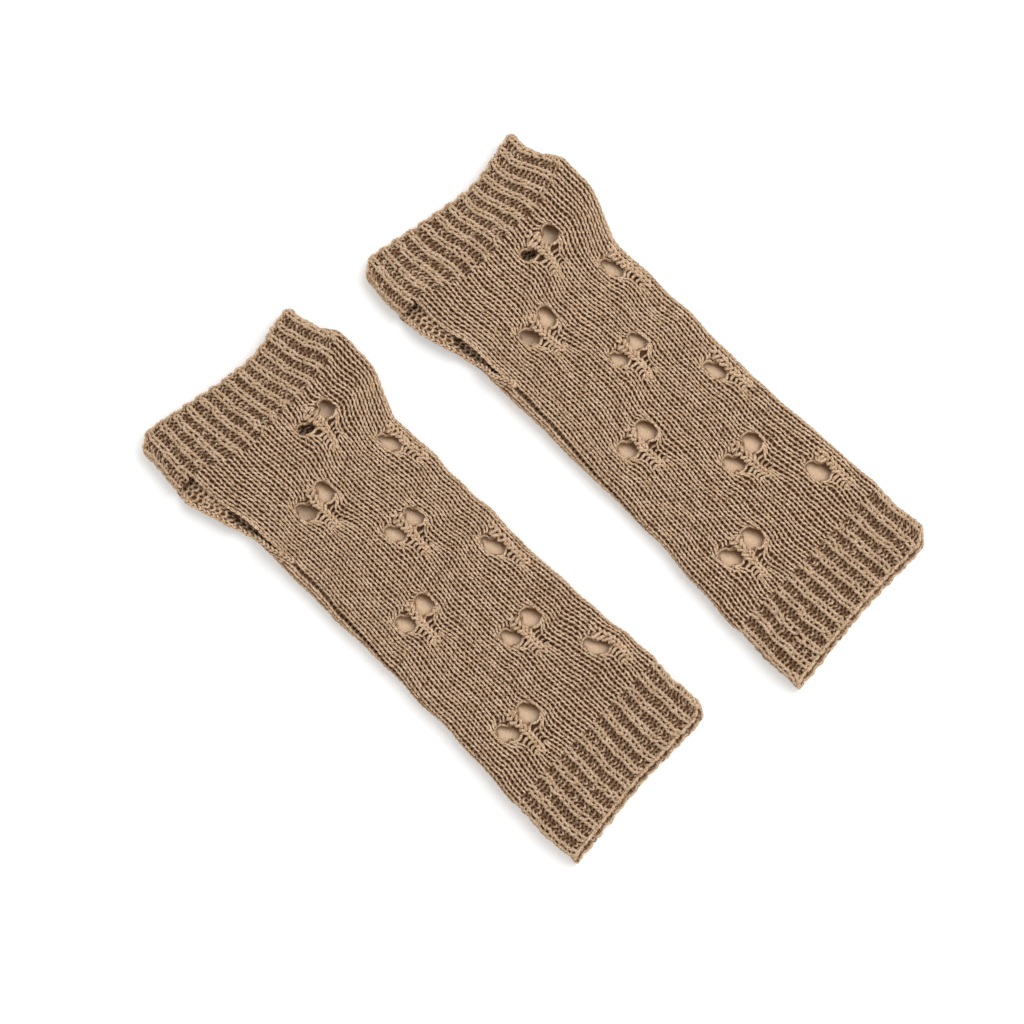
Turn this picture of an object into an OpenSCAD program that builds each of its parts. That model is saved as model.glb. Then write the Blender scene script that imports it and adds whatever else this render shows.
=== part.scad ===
// A pair of knitted fingerless gloves lying flat, in millimetres.
// X runs across a glove, +Y runs towards the fingers, and Z = 0 is the table.
// Each glove is a flattened tube: a plain body between two ribbed cuffs, with
// eyelets in its front and a thumb slit at the top of its side seam.

/* [Lengths] */
// Plain body between the two ribbed cuffs
body_len = 184; // [150:1:230]
// Ribbed cuff at the fingers, where it is shortest
hand_rib_len = 24; // [18:1:40]
// Ribbed cuff at the arm, where it is shortest
arm_rib_len = 28.5; // [20:0.5:45]
// Bound-off chain at the fingers' opening, measured along the tube
hand_edge_len = 2.2; // [1.6:0.1:4]
// Cast-on band at the arm opening, measured along the tube
arm_edge_len = 2; // [1.6:0.1:4]
// How much longer the back is than the front at the arm opening
back_extra = 3.2; // [0:0.1:6]

/* [Widths] */
// Flat width at the wrist
wrist_w = 79; // [70:1:88]
// Flat width at the knuckles, where the body meets the hand cuff
palm_w = 97; // [90:1:110]
// Flat width at the fingers' opening
hand_end_w = 89; // [80:1:105]
// Flat width at the arm opening
arm_w = 87; // [80:1:110]
// Length over which the body widens from the wrist to the knuckles
palm_flare_len = 36; // [28:1:45]
// Length below the hand cuff over which the fold side keeps the knuckles' width
palm_shoulder_len = 12; // [0:1:15]
// Length over which the body and cuff widen from the wrist to the arm
arm_flare_len = 76; // [50:1:85]
// Length over which the hand cuff narrows to the fingers' opening
hand_taper_len = 20; // [12:1:20]
// Sideways lean of the knuckles
palm_shift = 0.5; // [-3:0.5:3]
// Sideways lean of the fingers' opening
hand_end_shift = -2; // [-4:0.5:3]

/* [Fabric] */
// Thickness of the knitted fabric
wall = 2; // [1.4:0.1:2.6]
// Space between front and back when the glove lies flat
inner_gap = 5; // [4.6:0.1:8]

/* [Ribs] */
// Ribs all round the hand cuff
hand_ribs = 28; // [20:1:34]
// Ribs all round the arm cuff
arm_ribs = 24; // [18:1:30]
// Depth of the furrow between two ribs
rib_depth = 0.8; // [0.3:0.1:1]

/* [Edges] */
// How far the hand cuff's lower line turns up towards the two folds
join_rise = 9; // [0:0.5:12]
// Length of the level middle stretch of that line
join_flat_len = 42; // [20:1:60]
// Length over which the line turns up on each side of the level stretch
join_turn_len = 26; // [15:1:35]
// Sideways place of the middle of the level stretch
join_mid_x = 9; // [-10:0.5:15]
// Length below the hand cuff over which the courses straighten out
course_bend_len = 42; // [25:1:60]
// Slope of the fingers' opening on each side of its lowest place
hand_dip_slope = 0.225; // [0:0.025:0.3]
// Sideways place of the lowest point of the fingers' opening
hand_dip_x = 14; // [0:1:20]
// Radius of the bend at that lowest point
hand_dip_round = 8; // [2:1:20]
// Slope of the arm opening on its seam side
arm_slant = 0.11; // [0:0.01:0.2]
// Sideways place where that slope begins
arm_slant_x = 8; // [-10:1:20]
// Radius of the bend where it begins
arm_slant_round = 12; // [2:1:20]
// Length of the rounded corner of the fingers' opening on the seam side
seam_corner_len = 11.5; // [4:0.5:14]
// Length of the rounded corners of both openings on the fold side
fold_corner_len = 5; // [3:0.5:10]

/* [Thumb slit and seam] */
// Length of the open slit below the hand cuff
slit_len = 56; // [40:1:70]
// Width of the linked seam below the slit
seam_w = 1.2; // [0.8:0.1:2]
// How far the seam's face lies below the fabric's
seam_sink = 0.6; // [0.2:0.1:0.9]

/* [Eyelets] */
// Width of the eyelet on the seam side of a pair
eyelet_w_seam = 7; // [4:0.5:9]
// Width of the eyelet on the fold side of a pair
eyelet_w_fold = 8.5; // [4:0.5:10]
// Length of an eyelet along the tube
eyelet_len = 9.5; // [8:0.5:14]
// Distance between the middles of the two eyelets of a pair
eyelet_pitch = 11; // [10:0.5:14]
// How far an eyelet at the fold may turn with it, in degrees
eyelet_tilt_max = 50; // [0:5:60]

/* [Pair] */
// Distance across from one glove's middle to the other's
pair_pitch = 118; // [110:1:160]
// How far the right glove lies nearer the arm end than the left one
pair_step = 16; // [0:1:40]

/* [Folds] */
// Gap between the body and a cuff that folds back over it
cuff_gap = 0.4; // [0.3:0.1:1]

/* [Hidden] */

taupe = [0.62, 0.51, 0.42];
deep_taupe = [0.5, 0.4, 0.32];
touch_gap = 0.2;                       // between knitted pieces that meet in one body

thick = inner_gap + 2 * wall;          // whole thickness of a glove
mid_z = thick / 2;
mid_r = (thick - wall) / 2;            // radius of the fabric's middle round a fold
hand_join_y = body_len / 2;
arm_join_y = -body_len / 2;
hand_end_y = hand_join_y + hand_rib_len;
arm_end_y = arm_join_y - arm_rib_len;
slit_end_y = hand_join_y + join_rise - slit_len;
slit_blend = 12;                       // length over which the back's edge lies down into the slit
seam_deg = 136;                        // place of the seam round the fold, counted from the bottom
seam_half_deg = seam_w / 2 / mid_r * 180 / PI;

// Eyelet pairs in the front, as shares of half the wrist's width and half the body's length
motifs = [
  [0.39, 0.87], [-0.25, 0.61], [0.885, 0.555], [0.25, 0.24], [-0.365, -0.075],
  [0.875, -0.11], [0.315, -0.465], [-0.43, -0.76], [0.9, -0.76],
];

// How finely the solids are drawn
body_rows = 19;
flat_steps = 20;                       // spans across the flat of the body
fold_step = 22.5;                      // degrees
cuff_rows = 3;

// ---- numbers ----
function ease(t) = let (c = min(1, max(0, t))) c * c * (3 - 2 * c);
function mix(a, b, t) = a + (b - a) * t;
function steps(n) = [for (i = [0 : n]) i / n];

// ---- outline of a glove ----
function palm_share(y, shoulder) =
  ease((y - hand_join_y + palm_flare_len) / (palm_flare_len - shoulder));
function hand_share(y) = ease((y - hand_join_y) / hand_taper_len);
function arm_half(y) =
  mix(wrist_w, arm_w, ease((arm_join_y - y + arm_flare_len - arm_rib_len / 2) / arm_flare_len)) / 2;
function left_edge(y) = y < 0 ? -arm_half(y) : mix(
  mix(-wrist_w / 2, palm_shift - palm_w / 2, palm_share(y, 0)),
  hand_end_shift - hand_end_w / 2, hand_share(y));
function right_edge(y) = y < 0 ? arm_half(y) : mix(
  mix(wrist_w / 2, palm_shift + palm_w / 2, palm_share(y, palm_shoulder_len)),
  hand_end_shift + hand_end_w / 2, hand_share(y));
function left_fold_x(y) = left_edge(y) + mid_z;
function right_fold_x(y) = right_edge(y) - mid_z;
// The front's own edge stays straight where the outline widens beside the thumb slit
function front_edge_x(y) = max(left_fold_x(y), y > 0 ? mid_z - wrist_w / 2 : left_fold_x(y));

// ---- lines across a glove, as Y at a given X ----
function rise(x) = join_rise * ease((abs(x - join_mid_x) - join_flat_len / 2) / join_turn_len);
function bend(x, slope, radius) = slope * (sqrt(x * x + radius * radius) - radius);
function corner_drop(inset, len) = pow(max(0, len - inset), 2) / len;
function hand_line(x) = hand_end_y
  + bend(x - hand_dip_x, hand_dip_slope, hand_dip_round)
  - corner_drop(x - left_edge(hand_end_y), seam_corner_len)
  - corner_drop(right_edge(hand_end_y) - x, fold_corner_len);
function arm_line(x, z) = arm_end_y
  - bend(min(x - arm_slant_x, 0), arm_slant, arm_slant_round)
  - back_extra * (1 - z / thick)
  + corner_drop(arm_w / 2 - x, fold_corner_len);
// Courses of the body follow the hand cuff's lower line near it and run straight further down
function body_y(x, y) = y + rise(x) * ease(1 - (hand_join_y - y) / course_bend_len);

// ---- shells ----
// A section is [outer points, inner points]; a shell joins sections one after another.
module shell(sections, closed) {
  count = len(sections[0][0]);
  rows = len(sections);
  last = closed ? count - 1 : count - 2;
  function at(row, side, i) = (row * 2 + side) * count + (i % count);
  points = [for (s = sections) for (side = s) for (p = side) p];
  skins = [for (r = [0 : rows - 2]) for (i = [0 : last]) each [
    [at(r, 0, i), at(r + 1, 0, i), at(r + 1, 0, i + 1)],
    [at(r, 0, i), at(r + 1, 0, i + 1), at(r, 0, i + 1)],
    [at(r, 1, i), at(r + 1, 1, i + 1), at(r + 1, 1, i)],
    [at(r, 1, i), at(r, 1, i + 1), at(r + 1, 1, i + 1)],
  ]];
  ends = [for (i = [0 : last]) each [
    [at(0, 0, i), at(0, 0, i + 1), at(0, 1, i + 1)],
    [at(0, 0, i), at(0, 1, i + 1), at(0, 1, i)],
    [at(rows - 1, 0, i), at(rows - 1, 1, i + 1), at(rows - 1, 0, i + 1)],
    [at(rows - 1, 0, i), at(rows - 1, 1, i), at(rows - 1, 1, i + 1)],
  ]];
  sides = closed ? [] : [for (r = [0 : rows - 2]) each [
    [at(r, 0, 0), at(r, 1, 0), at(r + 1, 1, 0)],
    [at(r, 0, 0), at(r + 1, 1, 0), at(r + 1, 0, 0)],
    [at(r, 0, count - 1), at(r + 1, 1, count - 1), at(r, 1, count - 1)],
    [at(r, 0, count - 1), at(r + 1, 0, count - 1), at(r + 1, 1, count - 1)],
  ]];
  polyhedron(points, concat(skins, ends, sides), convexity = 10);
}

// A point of the left or right fold: deg runs from the bottom, 0, to the top, 180
function fold_point(cx, side, deg, out) =
  [cx + side * (mid_r + out) * sin(deg), mid_z - (mid_r + out) * cos(deg)];

// ---- plain body ----
function body_row(i) = arm_join_y + (hand_join_y - arm_join_y) * i / body_rows;
function placed(path, y) = [for (p = path) [p.x, body_y(p.x, y), p.y]];

function front_path(y, out) = concat(
  [for (d = [seam_deg + seam_half_deg : (180 - seam_deg - seam_half_deg) / 3 : 179])
    fold_point(front_edge_x(y), -1, d, out)],
  [for (t = steps(flat_steps)) [mix(front_edge_x(y), right_fold_x(y), t), mid_z + mid_r + out]],
  [for (d = [180 - fold_step : -fold_step : 90]) fold_point(right_fold_x(y), 1, d, out)]);

// The back's left edge wraps up to the seam, and lies down flat beside the thumb slit
function curl(y) = max(0.02, 1 - ease((y - slit_end_y) / slit_blend));
function back_path(y, out) =
  let (
    c = curl(y),
    turn = seam_deg - seam_half_deg,
    reach = c * turn >= 90 ? 1 : sin(c * turn),
    start = left_fold_x(y) - mid_z + (mid_r / c + wall / 2) * reach)
  concat(
    [for (d = [90 : -fold_step : 1]) fold_point(right_fold_x(y), 1, d, out)],
    [for (t = steps(flat_steps)) [mix(right_fold_x(y), start, t), wall / 2 - out]],
    [for (t = steps(6)) if (t > 0)
      [start - (mid_r / c + out) * sin(c * turn * t),
       wall / 2 + mid_r / c - (mid_r / c + out) * cos(c * turn * t)]]);

function seam_path(y, out) = [
  for (d = [-1, 0, 1])
    fold_point(left_fold_x(y), -1, seam_deg + d * (seam_half_deg - touch_gap / mid_r * 180 / PI), out)];

module front_body() {
  color(taupe) difference() {
    shell([for (i = [0 : body_rows]) [
      placed(front_path(body_row(i), wall / 2), body_row(i)),
      placed(front_path(body_row(i), -wall / 2), body_row(i))]], false);
    for (m = motifs) {
      eyelet(m.x * wrist_w / 2 - eyelet_pitch / 2, m.y * body_len / 2, eyelet_w_seam);
      eyelet(m.x * wrist_w / 2 + eyelet_pitch / 2, m.y * body_len / 2, eyelet_w_fold);
    }
  }
}

// One eyelet: round towards the fingers, flat towards the arm, and turned with the fold
module eyelet(x, y, w) {
  edge = right_fold_x(y);
  tilt = min(eyelet_tilt_max, max(0, x - edge) / mid_r * 180 / PI);
  translate([min(x, edge), y, mid_z]) rotate([0, tilt, 0])
    linear_extrude(thick) union() {
      translate([0, (eyelet_len - w) / 2]) circle(d = w, $fn = 24);
      translate([-w / 2, -eyelet_len / 2]) square([w, eyelet_len - w / 2]);
    }
}

module back_body() {
  color(taupe) shell([for (i = [0 : body_rows]) [
    placed(back_path(body_row(i), wall / 2), body_row(i)),
    placed(back_path(body_row(i), -wall / 2), body_row(i))]], false);
}

module side_seam() {
  color(deep_taupe) shell([for (t = steps(body_rows)) let (y = mix(arm_join_y, slit_end_y, t)) [
    placed(seam_path(y, wall / 2 - seam_sink), y),
    placed(seam_path(y, -wall / 2), y)]], false);
}

// ---- ribbed cuffs ----
// A point of the flattened tube at a share of the way round, starting at the left fold
function tube_point(y, share, out) =
  let (
    l = left_fold_x(y), r = right_fold_x(y),
    flat = r - l, arc = PI * mid_r,
    s = share * 2 * (flat + arc))
  s < arc / 2 ? fold_point(l, -1, 90 + s / arc * 180, out)
  : s < arc / 2 + flat ? [l + s - arc / 2, mid_z + mid_r + out]
  : s < arc * 1.5 + flat ? fold_point(r, 1, 180 - (s - arc / 2 - flat) / arc * 180, out)
  : s < arc * 1.5 + flat * 2 ? [r - (s - arc * 1.5 - flat), mid_z - mid_r - out]
  : fold_point(l, -1, (s - arc * 1.5 - flat * 2) / arc * 180, out);

// Four points a rib: two on its crown and two in the furrow beside it
crown = [0.08, 0.42];
furrow = [0.58, 0.92];
function rib_share(i, ribs) = (floor(i / 4) + concat(crown, furrow)[i % 4]) / ribs;
function rib_out(i) = (i % 4) < 2 ? wall / 2 : wall / 2 - rib_depth;

// Lines at both ends of each cuff, for a point of its section
function hand_y(p, v) = mix(hand_join_y + rise(p.x) + cuff_gap, hand_line(p.x), v);
function arm_y(p, v) = mix(arm_join_y - cuff_gap, arm_line(p.x, p.y), v);

// One round of a cuff at height y of the outline: outer points, then inner ones
function rib_round(y, ribs) = [for (inner = [false, true]) [for (i = [0 : ribs * 4 - 1])
  tube_point(y, rib_share(i, ribs), inner ? -wall / 2 : rib_out(i))]];
function band_round(y, ribs) = [for (out = [wall / 2, -wall / 2]) [for (i = [0 : ribs * 4 - 1])
  tube_point(y, rib_share(i, ribs), out)]];

module hand_rib() {
  color(taupe) shell([for (v = steps(cuff_rows))
    [for (side = rib_round(mix(hand_join_y, hand_end_y, v), hand_ribs))
      [for (p = side) [p.x, hand_y(p, v), p.y]]]], true);
}

module arm_rib() {
  color(taupe) shell([for (v = steps(cuff_rows))
    [for (side = rib_round(mix(arm_end_y, arm_join_y, v), arm_ribs))
      [for (p = side) [p.x, arm_y(p, 1 - v), p.y]]]], true);
}

module hand_edge() {
  color(deep_taupe) shell([for (v = [0, 1])
    [for (side = band_round(hand_end_y, hand_ribs))
      [for (p = side) [p.x, hand_line(p.x) + touch_gap + v * hand_edge_len, p.y]]]], true);
}

module arm_edge() {
  color(deep_taupe) shell([for (v = [1, 0])
    [for (side = band_round(arm_end_y, arm_ribs))
      [for (p = side) [p.x, arm_line(p.x, p.y) - touch_gap - v * arm_edge_len, p.y]]]], true);
}

// ---- the pair ----
pair_x = -palm_shift;
pair_y = -(hand_line(left_edge(hand_end_y) + seam_corner_len) + hand_edge_len
  + arm_line(left_edge(arm_end_y), 0) - arm_edge_len) / 2;

module left() { translate([pair_x - pair_pitch / 2, pair_y + pair_step / 2, 0]) children(); }
module right() { translate([pair_x + pair_pitch / 2, pair_y - pair_step / 2, 0]) children(); }

left() front_body();  // left_front_body
left() back_body();  // left_back_body
left() side_seam();  // left_side_seam
left() hand_rib();  // left_hand_rib
left() hand_edge();  // left_hand_edge
left() arm_rib();  // left_arm_rib
left() arm_edge();  // left_arm_edge
right() front_body();  // right_front_body
right() back_body();  // right_back_body
right() side_seam();  // right_side_seam
right() hand_rib();  // right_hand_rib
right() hand_edge();  // right_hand_edge
right() arm_rib();  // right_arm_rib
right() arm_edge();  // right_arm_edge
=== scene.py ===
import math
from functools import partial

import bpy
import numpy as np
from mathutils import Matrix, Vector


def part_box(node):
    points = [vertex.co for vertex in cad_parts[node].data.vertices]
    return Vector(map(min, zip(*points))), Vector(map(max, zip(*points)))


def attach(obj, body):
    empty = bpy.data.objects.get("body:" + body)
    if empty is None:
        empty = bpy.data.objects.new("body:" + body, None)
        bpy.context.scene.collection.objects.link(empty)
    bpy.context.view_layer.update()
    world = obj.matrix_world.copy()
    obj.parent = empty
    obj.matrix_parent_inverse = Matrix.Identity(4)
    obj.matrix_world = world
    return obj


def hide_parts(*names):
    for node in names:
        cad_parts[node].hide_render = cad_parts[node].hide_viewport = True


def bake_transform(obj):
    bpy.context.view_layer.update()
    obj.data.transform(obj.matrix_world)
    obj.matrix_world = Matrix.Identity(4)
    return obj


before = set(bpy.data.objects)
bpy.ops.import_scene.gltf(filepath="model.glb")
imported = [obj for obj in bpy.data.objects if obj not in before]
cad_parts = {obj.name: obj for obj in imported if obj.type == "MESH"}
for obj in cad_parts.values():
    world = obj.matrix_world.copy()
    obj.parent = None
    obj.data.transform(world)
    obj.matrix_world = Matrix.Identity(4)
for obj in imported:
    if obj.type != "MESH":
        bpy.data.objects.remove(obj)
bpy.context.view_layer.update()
mm = 0.001

# One glove about its own middle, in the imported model's sizes
glove = {
    "bodyLength": 184 * mm,
    "handRibLength": 24 * mm,
    "armRibLength": 28.5 * mm,
    "handEdgeLength": 2.2 * mm,
    "armEdgeLength": 2.0 * mm,
    "wristWidth": 79 * mm,
    "palmWidth": 97 * mm,
    "handEndWidth": 89 * mm,
    "armWidth": 87 * mm,
    "palmFlare": 36 * mm,  # over how much length the wrist widens to the palm
    "palmShoulder": 12 * mm,  # on the fold side it is widest this far below the cuff
    "armFlare": 76 * mm,
    "handTaper": 20 * mm,
    "palmShift": 0.5 * mm,
    "handEndShift": -2 * mm,
    "wall": 2 * mm,
}
# The lines where the cuffs begin and end
cuffLine = {
    "joinRise": 9 * mm,  # the hand cuff's lower line turns up towards both folds
    "joinFlat": 42 * mm,
    "joinTurn": 26 * mm,
    "joinMiddle": 9 * mm,
    "courseBend": 42 * mm,  # how far down the glove the courses follow that line
    "dipSlope": 0.225,  # the fingers' end is a shallow V
    "dipX": 14 * mm,
    "dipRound": 8 * mm,
    "armSlant": 0.11,
    "armSlantX": 8 * mm,
    "armSlantRound": 12 * mm,
    "backExtra": 3.2 * mm,  # the back reaches past the front at the arm
    "frontShort": 0.9 * mm,  # and the front's top layer ends a little short
    "seamCorner": 11.5 * mm,  # how far each corner is rounded off
    "foldCorner": 5 * mm,
    "armCorner": 9 * mm,
}
# Where the side seam runs round the left fold, as fabric from the flat over to it
seamPath = {
    "atTop": -0.9 * mm,
    "bySlit": 2.1 * mm,
    "slitFrom": 62 * mm,
    "slitRun": 22 * mm,
    "atArm": 5 * mm,
    "armFrom": 41 * mm,
    "armRun": 99 * mm,
    "width": 0.9 * mm,
}
# The thumb slit above the seam; the back's free edge turns up beside it
thumbSlit = {
    "length": 56 * mm,
    "blend": 24 * mm,  # over how much length the back comes away from the fold
    "lift": 4.6 * mm,
    "liftFrom": 17 * mm,
    "liftRun": 10 * mm,
    "settleAt": 1 * mm,  # past the cuff's line, where it lies flat again
    "settleRun": 9 * mm,
    "widenAfter": 6 * mm,  # nearer the cuff more of the width turns up, and more softly
    "widenRun": 14 * mm,
    "reach": (3 * mm, 15 * mm),
    "soft": (2 * mm, 4 * mm),
}
# Both gloves lie a little unevenly, with slow waves and smaller ones
drape = {
    "sway": 0.28 * mm,  # across
    "bob": 0.4 * mm,  # along
    "lift": 0.3 * mm,  # up and down, in the upper layer
    "edge": 0.3 * mm,  # at both sides
    "wander": 0.14 * mm,
    "wanderSize": 9 * mm,
    "wanderAlong": 0.8,
    "longAcross": 0.6,
    "longAlong": 0.8,
    "stillEnd": 8 * mm,  # next to the cuffs the courses keep to their line
    "offFloor": 0.45 * mm,
}
waves = {
    "left": {"seed": 100, "size": 34 * mm, "edgeSize": 24 * mm},
    "right": {"seed": 500, "size": 37 * mm, "edgeSize": 26 * mm},
}
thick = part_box("left_hand_rib")[1].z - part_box("left_hand_rib")[0].z
midZ = thick / 2
midR = (thick - glove["wall"]) / 2
handJoin = glove["bodyLength"] / 2
armJoin = -glove["bodyLength"] / 2
handEnd = handJoin + glove["handRibLength"]
armEnd = armJoin - glove["armRibLength"]
slitEnd = handJoin + cuffLine["joinRise"] - thumbSlit["length"]
quarterFold = midR * math.pi / 2


def gloveMiddle(side):
    cuffLow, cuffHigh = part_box(side + "_arm_rib")
    return np.array([(cuffLow.x + cuffHigh.x) / 2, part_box(side + "_side_seam")[0].y - armJoin, 0])


def ease(t):
    c = np.clip(t, 0, 1)
    return c * c * (3 - 2 * c)


def mix(a, b, t):
    return a + (b - a) * t


def palmShare(y, shoulder):
    return ease((y - handJoin + glove["palmFlare"]) / (glove["palmFlare"] - shoulder))


def armHalf(y):
    share = ease((armJoin - y + glove["armFlare"] - glove["armRibLength"] / 2) / glove["armFlare"])
    return mix(glove["wristWidth"], glove["armWidth"], share) / 2


def sideEdge(y, side, shoulder):
    widest = glove["palmShift"] + side * glove["palmWidth"] / 2
    palm = mix(side * glove["wristWidth"] / 2, widest, palmShare(y, shoulder))
    handShare = ease((y - handJoin) / glove["handTaper"])
    upper = mix(palm, glove["handEndShift"] + side * glove["handEndWidth"] / 2, handShare)
    return np.where(y < 0, side * armHalf(y), upper)


def leftEdge(y):
    return sideEdge(y, -1, 0)


def rightEdge(y):
    return sideEdge(y, 1, glove["palmShoulder"])


def leftFold(y):
    return leftEdge(y) + midZ


def rightFold(y):
    return rightEdge(y) - midZ


def frontCurl(y):  # fabric from the front's side edge up to the flat: the seam wanders round the fold
    top = seamPath["atTop"]
    bySlit = ease((y - seamPath["slitFrom"]) / seamPath["slitRun"])
    byArm = ease((seamPath["armFrom"] - y) / seamPath["armRun"])
    return top + (seamPath["bySlit"] - top) * bySlit + (seamPath["atArm"] - top) * byArm


def backCurl(y):
    return midR * math.pi - frontCurl(y) - seamPath["width"]


def frontEdge(y):  # the front's own edge stays straight beside the thumb slit
    return np.where(y > 0, np.maximum(leftFold(y), midZ - glove["wristWidth"] / 2), leftFold(y))


def rise(x):
    beyond = np.abs(x - cuffLine["joinMiddle"]) - cuffLine["joinFlat"] / 2
    return cuffLine["joinRise"] * ease(beyond / cuffLine["joinTurn"])


def bend(x, slope, radius):
    return slope * (np.sqrt(x * x + radius * radius) - radius)


def cornerDrop(inset, length):  # a round corner, halfway between a parabola and an arc
    t = np.clip(1 - inset / length, 0, 1)
    return length * (0.5 * t * t + 0.5 * (1 - np.sqrt(1 - t * t)))


def handLine(x):
    return (handEnd + bend(x - cuffLine["dipX"], cuffLine["dipSlope"], cuffLine["dipRound"])
            - cornerDrop(x - leftEdge(handEnd), cuffLine["seamCorner"])
            - cornerDrop(rightEdge(handEnd) - x, cuffLine["foldCorner"]))


def armLine(x, z):
    slanted = bend(np.minimum(x - cuffLine["armSlantX"], 0), cuffLine["armSlant"], cuffLine["armSlantRound"])
    return (armEnd - slanted - cuffLine["backExtra"] * (1 - z / thick)
            + cuffLine["frontShort"] * ease(2 * z / thick - 1)
            + cornerDrop(glove["armWidth"] / 2 - x, cuffLine["armCorner"]))


def drift(seed, a, b, size):
    # smooth seeded waviness of about unit size over the fabric: six waves, each with its own way and length
    rng = np.random.default_rng(seed)
    total = 0
    for _ in range(6):
        turn = rng.uniform(0, 2 * math.pi)
        reach = size * rng.uniform(0.6, 1.7)
        along = a * math.cos(turn) + b * math.sin(turn)
        total = total + np.sin(2 * math.pi * along / reach + rng.uniform(0, 6.3))
    return total / math.sqrt(3)


def stacked(x, y, z):
    return np.stack(np.broadcast_arrays(x, y, z), -1)


def settled(x, y, z, nx, nz, own):
    # the fabric wanders sideways, and the upper layer lifts and dips
    seed = own["seed"]
    flat = 1 - np.abs(nx)
    topShare = ease((z - midZ) / midR)
    rightShare = np.clip(0.5 + x / glove["wristWidth"], 0, 1)
    leftWave = drift(seed + 5, y, 0, own["edgeSize"])
    rightWave = drift(seed + 6, y, 0, own["edgeSize"])
    moved = x + drape["edge"] * mix(leftWave, rightWave, rightShare)
    moved = moved + drape["sway"] * drift(seed, x * drape["longAcross"], y, own["size"]) * flat
    moved = moved + drape["wander"] * drift(seed + 3, x, y * drape["longAlong"], drape["wanderSize"]) * flat
    raised = drape["lift"] * drift(seed + 1, x, y * drape["longAlong"], own["size"]) * topShare
    z = z + raised + drape["offFloor"]
    return stacked(moved, y, z) + own["middle"], stacked(nx, 0 * nx, nz)


def bodyPoint(x, y, z, nx, nz, own):
    lineY = y + rise(x) * ease(1 - (handJoin - y) / cuffLine["courseBend"])
    inner = ease((handJoin - np.abs(y)) / drape["stillEnd"])
    wander = drape["wanderAlong"] * drape["wander"]
    lineY = lineY + drape["bob"] * drift(own["seed"] + 2, x, y, own["size"]) * inner
    lineY = lineY + wander * drift(own["seed"] + 4, x, y, drape["wanderSize"]) * inner
    return settled(x, lineY, z, nx, nz, own)


def frontPlace(unrolled, y, out, own):
    # unrolled runs across the front as X does, and on round both folds
    flatX = np.clip(unrolled, frontEdge(y), rightFold(y))
    turn = (unrolled - flatX) / midR
    radius = midR + out
    x = flatX + radius * np.sin(turn)
    return bodyPoint(x, y, midZ + radius * np.cos(turn), np.sin(turn), np.cos(turn), own)


def frontLeft(y):
    return frontEdge(y) - frontCurl(y)


def frontWidth(y):
    return rightFold(y) + quarterFold - frontLeft(y)


def backCurve(y):  # how tightly the back wraps up to the seam; it lies open beside the slit
    return np.maximum(0.02, 1 - ease((y - slitEnd) / thumbSlit["blend"]))


def backStart(y):
    curve = backCurve(y)
    turn = curve * backCurl(y) / midR
    reach = np.where(turn >= math.pi / 2, 1, np.sin(turn))
    return leftFold(y) - midZ + (midR / curve + glove["wall"] / 2) * reach


def backWidth(y):
    return quarterFold + rightFold(y) - backStart(y) + backCurl(y)


def slitRaise(x, y):
    above = y - slitEnd - thumbSlit["liftFrom"]
    settling = ease((handJoin - y + thumbSlit["settleAt"]) / thumbSlit["settleRun"])
    lifted = ease(above / thumbSlit["liftRun"]) * settling
    near = ease((above - thumbSlit["widenAfter"]) / thumbSlit["widenRun"])
    reach = mix(*thumbSlit["reach"], near)
    return thumbSlit["lift"] * lifted * ease((reach - x + leftEdge(y)) / mix(*thumbSlit["soft"], near))


def backPlace(distance, y, out, own):
    # distance runs from the middle of the right fold, under the glove, and up to the seam
    flat = rightFold(y) - backStart(y)
    turnRight = np.clip(quarterFold - distance, 0, quarterFold) / midR
    leftRadius = midR / backCurve(y)
    curled = np.maximum(distance - quarterFold - flat, 0)
    turnLeft = np.minimum(curled / leftRadius, math.pi)
    x = (rightFold(y) + (midR + out) * np.sin(turnRight) - np.clip(distance - quarterFold, 0, flat)
         - (leftRadius + out) * np.sin(turnLeft) + np.maximum(curled - leftRadius * math.pi, 0))
    z = (midZ + leftRadius - (leftRadius + out) * np.cos(turnLeft)
         + (midR + out) * (1 - np.cos(turnRight)) - midR)
    nx = np.sin(turnRight) - np.sin(turnLeft)
    nz = -np.cos(turnRight) * np.cos(turnLeft)
    return bodyPoint(x, y, z + slitRaise(x, y), nx, nz, own)


def tubePlace(share, y, out, ends, own):
    # share runs once round the flattened tube from the middle of its left fold, over the top first
    flat = rightFold(y) - leftFold(y)
    arc = math.pi * midR
    s = share * 2 * (flat + arc)
    turn = (np.clip(s, 0, arc / 2) - arc / 2 + np.clip(s - arc / 2 - flat, 0, arc)
            + np.clip(s - 1.5 * arc - 2 * flat, 0, arc / 2)) / midR
    flatX = leftFold(y) + np.clip(s - arc / 2, 0, flat) - np.clip(s - 1.5 * arc - flat, 0, flat)
    radius = midR + out
    x = flatX + radius * np.sin(turn)
    z = midZ + radius * np.cos(turn)
    return settled(x, ends(x, z), z, np.sin(turn), np.cos(turn), own)


# One yarn, as it runs through a stitch: shares of a wale across and of a course along
stitch = {
    "pinch": 0.175,  # how far the loop closes at its foot and opens at its head
    "squeeze": 0.03,  # how much nearer the legs of one wale stand to each other
    "reach": 0.74,  # half the loop's height
    "samples": 24,
    "tall": 0.13,  # how much the stitches vary in height, sideways and in depth
    "lean": 0.02,
    "uneven": 0.32,
    "under": 0.35,  # how much deeper its feet lie than its head
    "shingle": 0.4,  # how much further forward each leg stands at its foot
}
ribStitch = {
    **stitch,
    "pinch": 0.12,
    "squeeze": 0.0,
    "tall": 0.24,
    "lean": 0.11,
    "uneven": 0.55,
    "wide": 0.56,  # a knit wale's share of the pair
    "crossing": 0.35,  # how gently the yarn passes from a knit wale to a purl one
}
slitStitch = {**stitch, "pinch": 0.3, "squeeze": 0.02, "lean": 0.1}


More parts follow.
